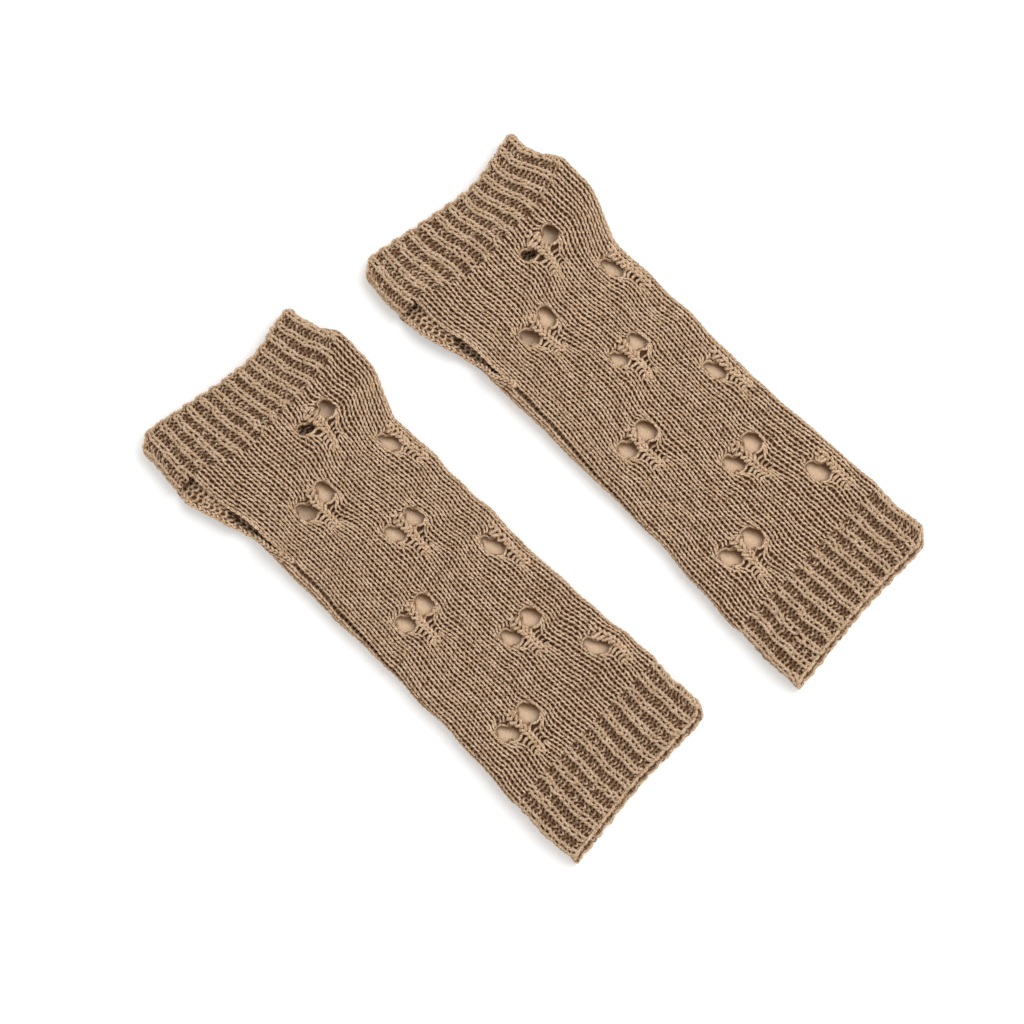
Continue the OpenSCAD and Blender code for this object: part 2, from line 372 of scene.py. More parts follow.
def stitchPaths(rows, wales, seed, shape=stitch):
    rng = np.random.default_rng(seed)
    turn = np.linspace(0, 2 * math.pi * wales, wales * shape["samples"] + 1)[None, :]
    wale = np.minimum((turn[0] / (2 * math.pi) + 1e-9).astype(int), wales - 1)
    part = turn - 2 * math.pi * wale
    swing = np.sin(part / 2) ** 2
    row = np.arange(rows)[:, None]

    def varied(amount):
        return rng.normal(0, amount, (rows, wales))[:, wale] * swing

    across = (turn / (2 * math.pi) + shape["pinch"] * np.sin(2 * part) + shape["squeeze"] * np.sin(part)
              + varied(shape["lean"]))
    along = row + 0.5 - shape["reach"] * np.cos(part) + varied(shape["tall"])
    lift = -np.cos(2 * part) - shape["under"] * np.cos(part) + varied(shape["uneven"])
    lift = lift + shape["shingle"] * np.sin(2 * part) * np.sign(math.pi - part)
    ridge = 0 * lift
    if "wide" in shape:
        # knit and purl wales by turns: the knit ones stand out and take more of the width
        face = np.where(wale % 2 == 0, 1, -1)[None, :]
        crossing = ease(np.minimum(part, 2 * math.pi - part) / (shape["crossing"] * math.pi))
        lift = lift * face * crossing
        ridge = face * np.sqrt(np.clip(np.sin(part / 2), 0, 1)) + 0 * lift
        pair = 2 * np.floor(across / 2)
        within = across - pair
        wide = 2 * shape["wide"]
        across = pair + np.where(within < 1, wide * within, wide + (2 - wide) * (within - 1))
    return {"across": across, "along": along, "lift": lift, "ridge": ridge}


# The yarn itself, and what each piece of knitting makes of it
yarnBuild = {
    "radius": 0.54 * mm,
    "depth": 0.42 * mm,  # how far a loop goes in and out
    "ridge": 0.0,
    "jitter": 0.05 * mm,
    "slub": 0.2,  # how much thicker and thinner it is in places
    "slubSize": 2.2 * mm,
    "swell": 0.3,  # how much thicker a ridge's yarn is, and how much lighter it is painted: painted light on ridges, painted shade in furrows
    "showing": 0.24,
    "span": 1.0 * mm,  # over this depth the painted shade fades out; the yarn is painted darkest at the fabric's middle
}
frontKnit = {**yarnBuild, "wales": 25, "rows": 80, "sides": 5, "spacing": 1.2 * mm, "ridge": 0.25 * mm}
backKnit = {**yarnBuild, "wales": 27, "rows": 80, "sides": 4, "spacing": 1.3 * mm, "radius": 0.62 * mm}
handRibKnit = {**yarnBuild, "wales": 56, "rows": 14, "sides": 5, "spacing": 1.1 * mm, "radius": 0.57 * mm,
               "ridge": 0.6 * mm, "inset": 0.5 * mm}
armRibKnit = {**yarnBuild, "wales": 48, "rows": 16, "sides": 5, "spacing": 1.1 * mm, "radius": 0.58 * mm,
              "ridge": 0.65 * mm, "inset": 0.5 * mm, "span": 1.15 * mm}
edgeKnit = {**yarnBuild, "sides": 6, "spacing": 0.7 * mm, "radius": 0.52 * mm, "depth": 0.48 * mm,
            "span": 0.9 * mm}
slitKnit = {**edgeKnit, "radius": 0.44 * mm, "depth": 0.4 * mm}
seamKnit = {**yarnBuild, "sides": 5, "spacing": 0.8 * mm, "radius": 0.32 * mm, "depth": 0.25 * mm}
course = glove["bodyLength"] / frontKnit["rows"]
foot = 0.5 - stitch["reach"]

# Pairs of eyelets in the front, as shares of half the wrist's width and half the body's length
eyelets = {
    "pairs": [[0.39, 0.87], [-0.25, 0.61], [0.885, 0.555], [0.25, 0.24], [-0.365, -0.075],
              [0.875, -0.11], [0.315, -0.465], [-0.43, -0.76], [0.9, -0.76]],
    "changes": {  # width, length and skew of single eyelets, by pair and side
        (0, -1): (0.72, 0.72, 0), (0, 1): (0.72, 0.85, -0.1), (2, -1): (0.72, 1.25, 0),
        (3, -1): (0.85, 0.95, 0), (3, 1): (0.82, 0.95, 0), (5, -1): (0.75, 1.1, 0),
        (8, -1): (0.85, 1.15, 0)},
    "rows": 4,
    "middle": 1.5,  # from the pair's middle to an eyelet's, in wales
    "foldFrom": 36 * mm,  # on the fold an eyelet is drawn shut
    "open": {-1: (1.06, 1.02), 1: (1.16, 1.1)},  # size beside the dropped stitches, by side
    "skew": {-1: 0.13, 1: 0.02},
    "roundness": 2.5,
    "innerShare": 0.4,  # how much of the width they gain towards each other
    "apart": 0.38,  # how far they move apart, with the wales from here on
    "apartFrom": 1.35,
    "apartRun": 0.35,
    "fade": (1.45, 1.8),  # how far out the fabric gives way, between the two and beyond them
    "settle": 12 * mm,
    "ruffle": 0.16 * mm,
    "ruffleSize": 3.5 * mm,
}
# The stitches dropped below each eyelet: a ladder of rungs that closes as it goes down
ladder = {
    "rungs": 4,
    "rung": {-1: (0.3, 1.3), 1: (-0.2, 0.4)},  # how high a rung stands, and how thick and how free of painted shade, by side
    "strand": {0: (0.4, 0.6), 1: (-0.5, -0.3), 2: (-0.3, -0.3), 3: (0, 0.1)},  # and those round an eyelet
    "margin": 0.1,  # how far these lie outside it
    "crowd": 0.88,  # how close the strands below an eyelet lie
    "hang": 0.4,  # how far the stitches above stay clear of the rim
    "turnIn": 0.2,  # how far into the next wale a strand bends
    "slant": 0.3,
    "pull": {-1: 0.5, 1: 0.6},  # how far it closes, in wales
    "shutPull": 0.25,  # and what is left of that where the eyelet is shut
    "ease": 3.0,  # over how many wales that pull dies away, and twice as many courses
    "spine": 1.2,  # how thick the stitches between the two stand, and how free of painted shade
    "spread": 0.1,  # how much wider the loops stand open there
}


def eyeletPlans():
    plans = []
    for number, (across, along) in enumerate(eyelets["pairs"]):
        x = across * glove["wristWidth"] / 2
        y = along * glove["bodyLength"] / 2
        wale = float(frontWidth(y)) / frontKnit["wales"]
        middle = int(round((x - float(frontLeft(y))) / wale - 0.5))
        lowest = int(round((y - armJoin) / course - eyelets["rows"] / 2 - foot))
        plans.append({
            "change": {side: eyelets["changes"].get((number, side), (1, 1, 0)) for side in (-1, 1)},
            "sides": (-1, 1) if x + eyelets["middle"] * wale < eyelets["foldFrom"] else (-1,),
            "x": x, "y": y, "wale": wale, "middle": middle, "lowest": lowest,
            "moveX": x - float(frontLeft(y)) - (middle + 0.5) * wale,
            "moveY": y - armJoin - (lowest + foot + eyelets["rows"] / 2) * course,
        })
    return plans


def dropStitches(paths, plans, seed):
    # where stitches were dropped the yarn crosses in a straight strand, or passes above or below an eyelet
    rng = np.random.default_rng(seed)
    rows = eyelets["rows"]
    margin = ladder["margin"]
    turnIn = ladder["turnIn"]
    passing = {1: -margin, 2: rows + margin, 3: rows + 2 * margin}  # an eyelet pushes these strands aside
    plain = np.arange(paths["across"].shape[1]) / stitch["samples"]
    for plan in plans:
        for side in plan["sides"]:
            u = (plain - plan["middle"] - 0.5 - 0.5 * side) * side
            for step in range(-ladder["rungs"], rows):
                row = plan["lowest"] + step
                span = 1 if step < 0 else 2
                part = ease((np.minimum(u, span - u) + turnIn) / (2 * turnIn))
                slant = rng.uniform(-1, 1) * ladder["slant"] if step < 0 else 0
                level = passing.get(step, step * ladder["crowd"]) + slant * (u - 0.5)
                lift, ridge = ladder["strand"].get(step, ladder["rung"][side])
                paths["along"][row] = mix(paths["along"][row], plan["lowest"] + foot + level, part)
                paths["across"][row] = mix(paths["across"][row], plain, part)
                paths["lift"][row] = mix(paths["lift"][row], lift, part)
                paths["ridge"][row] = mix(paths["ridge"][row], ridge, part)
            above = paths["along"][plan["lowest"] + rows]
            rim = plan["lowest"] + foot + rows + ladder["hang"]
            above[:] = np.where((u > -margin) & (u < 2 + margin), np.maximum(above, rim), above)
        u = plain - plan["middle"]
        within = (u > 0) & (u < 1)
        for row in range(plan["lowest"] - ladder["rungs"] - 1, plan["lowest"] + rows + 1):
            paths["across"][row] += np.where(within, ladder["spread"] * np.sin(4 * math.pi * u), 0)
            paths["ridge"][row] += np.where(within, ladder["spine"] * np.abs(np.sin(2 * math.pi * u)), 0)


def openEyelet(plan, side, x, y):
    # how far one eyelet, and the ladder below it, move the fabric at a place
    half = eyelets["rows"] / 2
    wale = plan["wale"]
    u = (x - plan["x"]) * side / wale
    v = (y - plan["y"]) / course
    a = u - eyelets["middle"]
    b = v / half
    rho = np.maximum(np.maximum(np.abs(a), np.abs(b)), 1e-6)
    power = eyelets["roundness"]
    rounded = (np.abs(a / rho) ** power + np.abs(b / rho) ** power) ** (-1 / power)
    fadeIn, fadeOut = eyelets["fade"]
    weight = 1 - ease((rho - 1) / (np.where(a < 0, fadeIn, fadeOut) - 1))
    below = -half - v
    dying = 1 - ease((below - ladder["rungs"] / 2) / 2 / ladder["ease"])
    closing = ease(2 * below / ladder["rungs"]) * dying
    if side not in plan["sides"]:
        weight = 0 * weight
        closing = ladder["shutPull"] * closing
    beyond = np.exp(-np.maximum(a, 0) / ladder["ease"])
    closing = closing * np.where(a < 0, np.clip(a + 1, 0, 1), beyond)
    change = plan["change"][side]
    wide = eyelets["open"][side][0] * change[0]
    tall = eyelets["open"][side][1] * change[1]
    skew = eyelets["skew"][side] + change[2]
    inward = np.where(a < 0, mix(1, wide, eyelets["innerShare"]), wide)
    apart = ease((a + eyelets["apartFrom"]) / eyelets["apartRun"]) * eyelets["apart"]
    opening = a * weight * (inward * rounded - 1) + apart * weight
    moveX = side * wale * (opening - ladder["pull"][side] * closing)
    moveY = half * course * b * weight * (tall * rounded - 1)
    ruffle = eyelets["ruffle"] * 4 * weight * (1 - weight)  # strongest halfway out
    moveX = moveX - skew * b * half * course * weight + ruffle * drift(31, x, y, eyelets["ruffleSize"])
    moveY = moveY - skew * side * a * wale * weight + ruffle * drift(32, x, y, eyelets["ruffleSize"])
    return moveX, moveY


def openEyelets(x, y, plans):
    for plan in plans:
        near = np.exp(-((x - plan["x"]) ** 2 + (y - plan["y"]) ** 2) / (2 * eyelets["settle"] ** 2))
        x = x + plan["moveX"] * near
        y = y + plan["moveY"] * near
        moves = [openEyelet(plan, side, x, y) for side in (-1, 1)]
        for moveX, moveY in moves:
            x = x + moveX
            y = y + moveY
    return x, y


def addNode(tree, kind, links=None, **settings):
    # adds one node; links holds its sockets' values, or the nodes and sockets that feed them
    node = tree.nodes.new(kind)
    for key, value in settings.items():
        setattr(node, key, value)
    for key, value in (links or {}).items():
        if isinstance(value, bpy.types.Node):
            value = value.outputs[0]
        if isinstance(value, bpy.types.NodeSocket):
            tree.links.new(value, node.inputs[key])
        else:
            node.inputs[key].default_value = value
    return node


# The tree's inputs, and what each one is called in the knits above
yarnInputs = {
    "Yarn Radius": "radius", "Loop Depth": "depth", "Ridge Height": "ridge", "Ridge Swell": "swell",
    "Ridge Shade Shift": "showing", "Spacing": "spacing", "Jitter": "jitter", "Slub": "slub",
    "Slub Size": "slubSize", "Shade Span": "span", "Sides": "sides",
}


def yarnTree():
    # guide lines become yarn: lifted in and out of the fabric, resampled, made round and given a material
    tree = bpy.data.node_groups.new("knittedYarn", "GeometryNodeTree")
    face = tree.interface
    face.new_socket("Geometry", in_out="INPUT", socket_type="NodeSocketGeometry")
    for name in (*yarnInputs, "Seed"):
        kind = "Int" if name in ("Sides", "Seed") else "Float"
        face.new_socket(name, in_out="INPUT", socket_type="NodeSocket" + kind)
    face.new_socket("Material", in_out="INPUT", socket_type="NodeSocketMaterial")
    face.new_socket("Geometry", in_out="OUTPUT", socket_type="NodeSocketGeometry")
    add = partial(addNode, tree)
    entry = add("NodeGroupInput").outputs
    position = add("GeometryNodeInputPosition")
    lift, ridge, outward, centre = (
        add("GeometryNodeInputNamedAttribute", {"Name": name}, data_type=kind)
        for name, kind in (("lift", "FLOAT"), ("ridge", "FLOAT"),
                           ("outward", "FLOAT_VECTOR"), ("centre", "FLOAT_VECTOR")))

    ridgeHeight = add("ShaderNodeMath", {0: ridge, 1: entry["Ridge Height"]}, operation="MULTIPLY")
    height = add("ShaderNodeMath", {
        0: lift, 1: entry["Loop Depth"], 2: ridgeHeight}, operation="MULTIPLY_ADD")
    raising = add("ShaderNodeVectorMath", {0: outward, "Scale": height}, operation="SCALE")
    lifted = add("GeometryNodeSetPosition", {"Geometry": entry["Geometry"], "Offset": raising})
    line = add("GeometryNodeMeshToCurve", {"Mesh": lifted})
    even = add("GeometryNodeResampleCurve", {"Curve": line, "Length": entry["Spacing"]}, mode="LENGTH")
    shake = add("FunctionNodeRandomValue", {
        0: (-1, -1, -1), 1: (1, 1, 1), "Seed": entry["Seed"]}, data_type="FLOAT_VECTOR")
    shaking = add("ShaderNodeVectorMath", {0: shake, "Scale": entry["Jitter"]}, operation="SCALE")
    shaken = add("GeometryNodeSetPosition", {"Geometry": even, "Offset": shaking})

    # its thickness: slubs, from noise spread to about -1 to 1, and more of it on a ridge
    slubScale = add("ShaderNodeMath", {0: 1.0, 1: entry["Slub Size"]}, operation="DIVIDE")
    slubs = add("ShaderNodeTexNoise", {"Scale": slubScale})
    spread = add("ShaderNodeMath", {0: slubs, 1: 4.0, 2: -2.0}, operation="MULTIPLY_ADD")
    fuller = add("ShaderNodeMath", {0: spread, 1: entry["Slub"], 2: 1.0}, operation="MULTIPLY_ADD")
    raised = add("ShaderNodeMath", {0: ridge, 1: 0.0}, operation="MAXIMUM")
    swelled = add("ShaderNodeMath", {
        0: raised, 1: entry["Ridge Swell"], 2: fuller}, operation="MULTIPLY_ADD")

    # what the yarn's material reads: the way along it, the way round it, and a level from its depth in the
    # fabric and its ridge, which sets its painted shade
    along = add("GeometryNodeSplineParameter").outputs
    measured = add("GeometryNodeStoreNamedAttribute", {
        "Geometry": shaken, "Name": "run", "Value": along["Length"]})
    centred = add("GeometryNodeStoreNamedAttribute", {
        "Geometry": measured, "Name": "centre", "Value": position}, data_type="FLOAT_VECTOR")
    ring = add("GeometryNodeCurvePrimitiveCircle", {
        "Resolution": entry["Sides"], "Radius": entry["Yarn Radius"]})
    rounded = add("GeometryNodeStoreNamedAttribute", {
        "Geometry": ring, "Name": "round", "Value": along["Factor"]})
    tube = add("GeometryNodeCurveToMesh", {
        "Curve": centred, "Profile Curve": rounded, "Scale": swelled, "Fill Caps": True})
    fromCentre = add("ShaderNodeVectorMath", {0: position, 1: centre}, operation="SUBTRACT")
    higher = add("ShaderNodeVectorMath", {0: fromCentre, 1: outward}, operation="DOT_PRODUCT")
    depth = add("ShaderNodeMath", {
        0: lift, 1: entry["Loop Depth"], 2: higher.outputs["Value"]}, operation="MULTIPLY_ADD")
    distance = add("ShaderNodeMath", {0: depth}, operation="ABSOLUTE")
    share = add("ShaderNodeMath", {0: distance, 1: entry["Shade Span"]}, operation="DIVIDE")
    standing = add("ShaderNodeMath", {0: ridge, 1: -0.5}, operation="MAXIMUM")
    level = add("ShaderNodeMath", {
        0: standing, 1: entry["Ridge Shade Shift"], 2: share}, operation="MULTIPLY_ADD")
    levelled = add("GeometryNodeStoreNamedAttribute", {"Geometry": tube, "Name": "level", "Value": level})
    smooth = add("GeometryNodeSetShadeSmooth", {"Geometry": levelled, "Shade Smooth": True})
    real = add("GeometryNodeRealizeInstances", {"Geometry": smooth})
    painted = add("GeometryNodeSetMaterial", {"Geometry": real, "Material": entry["Material"]})
    add("NodeGroupOutput", {"Geometry": painted})
    return tree


def linkObject(name, data):
    item = bpy.data.objects.new(name, data)
    bpy.context.scene.collection.objects.link(item)
    return item


def guideObject(name, points, outward, paths):
    rows, count = paths["lift"].shape
    mesh = bpy.data.meshes.new(name)
    index = np.arange(rows * count).reshape(rows, count)
    edges = np.stack([index[:, :-1].ravel(), index[:, 1:].ravel()], 1)
    mesh.vertices.add(rows * count)
    mesh.vertices.foreach_set("co", points.astype(np.float32).ravel())
    mesh.edges.add(len(edges))
    mesh.edges.foreach_set("vertices", edges.astype(np.int32).ravel())
    strand = np.repeat(np.arange(rows), count)
    for key, values in (("lift", paths["lift"]), ("ridge", paths["ridge"]), ("strand", strand)):
        layer = mesh.attributes.new(key, "FLOAT", "POINT")
        layer.data.foreach_set("value", values.astype(np.float32).ravel())
    layer = mesh.attributes.new("outward", "FLOAT_VECTOR", "POINT")
    layer.data.foreach_set("vector", outward.astype(np.float32).ravel())
    mesh.update()
    return linkObject(name, mesh)


def gathered(items, key, kind=np.int32):
    values = np.zeros(len(items), kind)
    items.foreach_get(key, values)
    return values


def cornerValues(mesh, name):
    values = gathered(mesh.attributes[name].data, "value", np.float32)
    return values[gathered(mesh.loops, "vertex_index")]


def layOutStrips(mesh, strands):
    # a map with one strip a strand, and a little room between them: along the yarn in u, round it in v
    run = cornerValues(mesh, "run")
    rounding = cornerValues(mesh, "round")
    strand = np.round(cornerValues(mesh, "strand"))
    highest = np.maximum.reduceat(rounding, gathered(mesh.polygons, "loop_start"))
    # where a round ends and the next begins
    wraps = np.repeat(highest > 0.6, gathered(mesh.polygons, "loop_total")) & (rounding < 0.1)
    rounding = np.where(wraps, 1.0, rounding)
    room = 0.04
    uv = np.stack([run / (run.max() * 1.001), (strand + room + (1 - 2 * room) * rounding) / strands], 1)
    layer = mesh.uv_layers.new(name="OFBake")
    layer.data.foreach_set("uv", uv.astype(np.float32).ravel())


def knitted(own, part, place, paths, knit, material, extra=0):
    name = own["side"] + "_" + part
    points, outward = place(paths["across"], paths["along"], 0)
    guide = guideObject(name + "Guide", points, outward, paths)
    modifier = guide.modifiers.new("yarn", "NODES")
    modifier.node_group = yarnMesh
    sockets = {item.name: item.identifier for item in yarnMesh.interface.items_tree
               if item.in_out == "INPUT"}
    for socket, key in yarnInputs.items():
        modifier[sockets[socket]] = knit[key]
    modifier[sockets["Seed"]] = own["seed"] + extra
    modifier[sockets["Material"]] = material
    evaluated = guide.evaluated_get(bpy.context.evaluated_depsgraph_get())
    mesh = bpy.data.meshes.new_from_object(evaluated)
    mesh.name = name
    bpy.data.objects.remove(guide)
    layOutStrips(mesh, points.shape[0])
    for key in ("outward", "lift", "ridge", "centre"):
        mesh.attributes.remove(mesh.attributes[key])
    return linkObject(name, mesh)


def sheetPiece(own, part, points, material, keep=None, paintedShade=None):
    # a thin layer behind the stitches, from a grid of points; keep says which of its cells stay, and
    # paintedShade how much painted shade each point carries
    name = own["side"] + "_" + part
    rows, count = points.shape[:2]
    index = np.arange(rows * count).reshape(rows, count)
    quads = np.stack([index[:-1, :-1], index[:-1, 1:], index[1:, 1:], index[1:, :-1]], -1)
    if keep is not None:
        quads = quads[keep]
    quads = quads.reshape(-1, 4)
    used = np.unique(quads)
    renumber = np.full(rows * count, -1)
    renumber[used] = np.arange(len(used))
    mesh = bpy.data.meshes.new(name)
    mesh.from_pydata(points.reshape(-1, 3)[used].tolist(), [], renumber[quads].tolist())
    mesh.materials.append(material)
    mesh.shade_smooth()
    mesh.update()
    if paintedShade is not None:
        layer = mesh.attributes.new("paintedShade", "FLOAT", "POINT")
        layer.data.foreach_set("value", paintedShade.reshape(-1)[used])
    return linkObject(name, mesh)


def linear(hexColour, shade=1.0):
    parts = [int(hexColour[i:i + 2], 16) / 255 for i in (1, 3, 5)]
    light = [p / 12.92 if p <= 0.04045 else ((p + 0.055) / 1.055) ** 2.4 for p in parts]
    return tuple(shade * p for p in light) + (1.0,)


def newMaterial(name):  # and the function that adds nodes to it
    material = bpy.data.materials.new(name)
    material.use_nodes = True
    material.node_tree.nodes.clear()
    return material, partial(addNode, material.node_tree)


# Plied cotton yarn, spun and dyed: matt, with a soft sheen where the fibres stand up
cottonYarn = {
    "light": "#E3C6A9",
    "middle": "#C6A886",
    "furrow": "#8C6846",  # partly painted shade between the plies, partly darker fibres at random
    "deep": "#7A593C",  # painted shade in the depth of the stitches
    "fullShadeBelow": 0.05,
    "noShadeAbove": 0.7,
    "patch": 4 * mm,
    "patchContrast": 2.0,
    "plyPitch": 1.7 * mm,
    "plies": 2,
    "plyContrast": 0.6,
    "fibre": 0.5 * mm,  # drawn coarser than the real ones, so that they show
    "fibreContrast": 4.5,
    "fibreBase": -1.1,
    "relief": 0.15 * mm,
    "reliefStrength": 0.6,
    "reliefShare": 0.6,  # of the plies in that relief, and of the fibres
    "roughness": 0.8,
    "specular": 0.3,
    "sheen": 0.1,
    "sheenRoughness": 0.5,
    "sheenTint": "#E8C8A8",
}


def yarnMaterial(name, shade=1.0):
    material, add = newMaterial(name)
    yarn = cottonYarn
    place = add("ShaderNodeTexCoord").outputs["Object"]
    run, rounding, level = (add("ShaderNodeAttribute", attribute_name=key).outputs["Fac"]
                            for key in ("run", "round", "level"))
    patches, fibres = (
        add("ShaderNodeTexNoise", {"Vector": place, "Scale": 1 / size, "Detail": detail})
        for size, detail in ((yarn["patch"], 3.0), (yarn["fibre"], 2.0)))
    twist = add("ShaderNodeMath", {0: rounding, 1: 2 * math.pi * yarn["plies"]}, operation="MULTIPLY")
    turns = add("ShaderNodeMath", {
        0: run, 1: 2 * math.pi / yarn["plyPitch"], 2: twist}, operation="MULTIPLY_ADD")
    swing = add("ShaderNodeMath", {0: turns}, operation="SINE")
    ply = add("ShaderNodeMath", {0: swing, 1: 0.5, 2: 0.5}, operation="MULTIPLY_ADD")
    patchy = add("ShaderNodeMath", {
        0: patches, 1: yarn["patchContrast"], 2: 0.5 - yarn["patchContrast"] / 2}, operation="MULTIPLY_ADD")
    tone = add("ShaderNodeMix", {
        0: patchy, 6: linear(yarn["middle"], shade), 7: linear(yarn["light"], shade)}, data_type="RGBA")
    fuzz = add("ShaderNodeMath", {
        0: fibres, 1: yarn["fibreContrast"], 2: yarn["fibreBase"]}, operation="MULTIPLY_ADD")
    # painted shade in the grooves between the plies, with random darker fibres
    plyShadeAndFibres = add("ShaderNodeMath", {0: ply, 1: -yarn["plyContrast"], 2: fuzz}, operation="MULTIPLY_ADD")
    grain = add("ShaderNodeMix", {
        0: plyShadeAndFibres, 6: linear(yarn["furrow"], shade), 7: tone.outputs[2]}, data_type="RGBA")
    # painted shade: where the level is low, the yarn is mixed towards the deep colour
    unshaded = add("ShaderNodeMapRange", {
        0: level, 1: yarn["fullShadeBelow"], 2: yarn["noShadeAbove"]}, interpolation_type="SMOOTHSTEP")
    shaded = add("ShaderNodeMix", {
        0: unshaded, 6: linear(yarn["deep"], shade), 7: grain.outputs[2]}, data_type="RGBA")
    fibreHeight = add("ShaderNodeMath", {0: fibres, 1: yarn["reliefShare"]}, operation="MULTIPLY")
    height = add("ShaderNodeMath", {
        0: ply, 1: yarn["reliefShare"], 2: fibreHeight}, operation="MULTIPLY_ADD")
    bump = add("ShaderNodeBump", {
        "Strength": yarn["reliefStrength"], "Distance": yarn["relief"], "Height": height})
    shader = add("ShaderNodeBsdfPrincipled", {
        "Base Color": shaded.outputs[2], "Roughness": yarn["roughness"], "Normal": bump,
        "Sheen Weight": yarn["sheen"], "Sheen Roughness": yarn["sheenRoughness"],
        "Sheen Tint": linear(yarn["sheenTint"]), "Specular IOR Level": yarn["specular"]})
    add("ShaderNodeOutputMaterial", {"Surface": shader})
    return material


# A plain fine cloth, matt and even in tone, with painted shade where a piece carries it, and faint cords
# along the glove where cord gives their pitch
plainCloth = {
    "grain": 0.5 * mm,
    "speckle": (0.35, 0.65),
    "speckleShade": 0.76,
    "paintedShade": "#865E3A",  # painted shade: darker where it falls away from the light
    "cordRelief": 0.1 * mm,
    "cordStrength": 0.3,
    "specular": 0.2,
}


def clothMaterial(name, hexColour, roughness, cord=0.0):
    material, add = newMaterial(name)
    place = add("ShaderNodeTexCoord").outputs["Object"]
    low, high = plainCloth["speckle"]
    grain = add("ShaderNodeTexNoise", {"Vector": place, "Scale": 1 / plainCloth["grain"], "Detail": 2.0})
    speckle = add("ShaderNodeMapRange", {"Value": grain, 1: low, 2: high})
    darker = linear(hexColour, plainCloth["speckleShade"])
    tone = add("ShaderNodeMix", {0: speckle, 6: linear(hexColour), 7: darker}, data_type="RGBA")
    # painted shade, from the piece's own attribute
    paintedShade = add("ShaderNodeAttribute", attribute_name="paintedShade").outputs["Fac"]
    sunk = add("ShaderNodeMix", {
        0: paintedShade, 6: tone.outputs[2], 7: linear(plainCloth["paintedShade"])}, data_type="RGBA")
    finish = {"Base Color": sunk.outputs[2], "Roughness": roughness,
              "Specular IOR Level": plainCloth["specular"]}
    if cord:
        cords = add("ShaderNodeTexWave", {
            "Vector": place, "Scale": math.pi / 10 / cord, "Distortion": 2.0, "Detail": 1.0},
            bands_direction="X")
        finish["Normal"] = add("ShaderNodeBump", {
            "Strength": plainCloth["cordStrength"], "Distance": plainCloth["cordRelief"],
            "Height": cords.outputs["Fac"]})
    shader = add("ShaderNodeBsdfPrincipled", finish)
    add("ShaderNodeOutputMaterial", {"Surface": shader})
    return material


yarnMesh = yarnTree()
bodyYarn = yarnMaterial("plied cotton yarn")
# the rib and seam yarns are darker copies of the same yarn as painted shade, the seam's much darker as in
# its groove; the edge yarn is a lighter copy as painted light
shadedRibYarn = yarnMaterial("plied cotton rib yarn in painted shade", 0.9)
litEdgeYarn = yarnMaterial("plied cotton edge yarn in painted light", 1.03)
shadedSeamYarn = yarnMaterial("plied cotton seam yarn in painted shade", 0.45)
# painted shade: the dark sheets behind the stitches
shadowYarn = clothMaterial("yarn in shadow", "#6C4A34", 0.95)
innerCloth = clothMaterial("smooth inner cloth", "#E0C0A0", 0.8, 0.45 * mm)
print("materials made")


# The dark layer behind the front's stitches is painted shade: it stands for the yarn's shaded side
frontShadeSheet = {
    "depth": -0.95 * mm,
    "step": (0.25, 0.5),  # in wales and courses
    "opening": 1.25,  # half an eyelet's width in it, in wales
    "rim": 0.12,  # how far it shows inside an eyelet, on the side of the fold, as a painted shadow under the rim
    "deeper": 0.55 * mm,  # below each pair it lies deeper, over so many wales and courses
    "deeperWales": 2,
    "deeperCourses": 3,
    "deeperFrom": 2.5,
}


def buildFront(own, plans):
    paths = stitchPaths(frontKnit["rows"], frontKnit["wales"], own["seed"] + 10)
    dropStitches(paths, plans, own["seed"] + 11)

    def place(across, along, out):
        y = armJoin + along * course
        x = frontLeft(y) + across / frontKnit["wales"] * frontWidth(y)
        x, y = openEyelets(x, y, plans)
        return frontPlace(x, y, out, own)

    knit = knitted(own, "front_knit", place, paths, frontKnit, bodyYarn)
    acrossStep, alongStep = frontShadeSheet["step"]
    across = np.arange(0, frontKnit["wales"] + 0.1, acrossStep)
    inner = np.arange(foot % alongStep, frontKnit["rows"], alongStep)  # rows that meet the eyelets' ends
    along = np.unique(np.concatenate([[0], inner, [frontKnit["rows"]]]))
    cellAcross, cellAlong = np.meshgrid((across[:-1] + across[1:]) / 2, (along[:-1] + along[1:]) / 2)
    keep = np.ones(cellAcross.shape, bool)
    shadeSheetAcross, shadeSheetAlong = np.meshgrid(across, along)
    depth = frontShadeSheet["depth"]
    for plan in plans:
        for turned in plan["sides"]:
            u = (cellAcross - plan["middle"] - 0.5) * turned
            v = cellAlong - plan["lowest"] - foot
            edge = eyelets["middle"] - frontShadeSheet["rim"] * turned
            within = np.abs(u - edge) < frontShadeSheet["opening"] - frontShadeSheet["rim"]
            keep &= ~(within & (v > 0) & (v < eyelets["rows"]))
        u = np.abs(shadeSheetAcross - plan["middle"] - 0.5)
        v = np.abs(shadeSheetAlong - plan["lowest"] + frontShadeSheet["deeperFrom"])
        below = (u < frontShadeSheet["deeperWales"]) * (v < frontShadeSheet["deeperCourses"])
        depth = depth - frontShadeSheet["deeper"] * below
    shadeSheet = sheetPiece(own, "front_core", place(shadeSheetAcross, shadeSheetAlong, depth)[0], shadowYarn, keep)
    return knit, shadeSheet


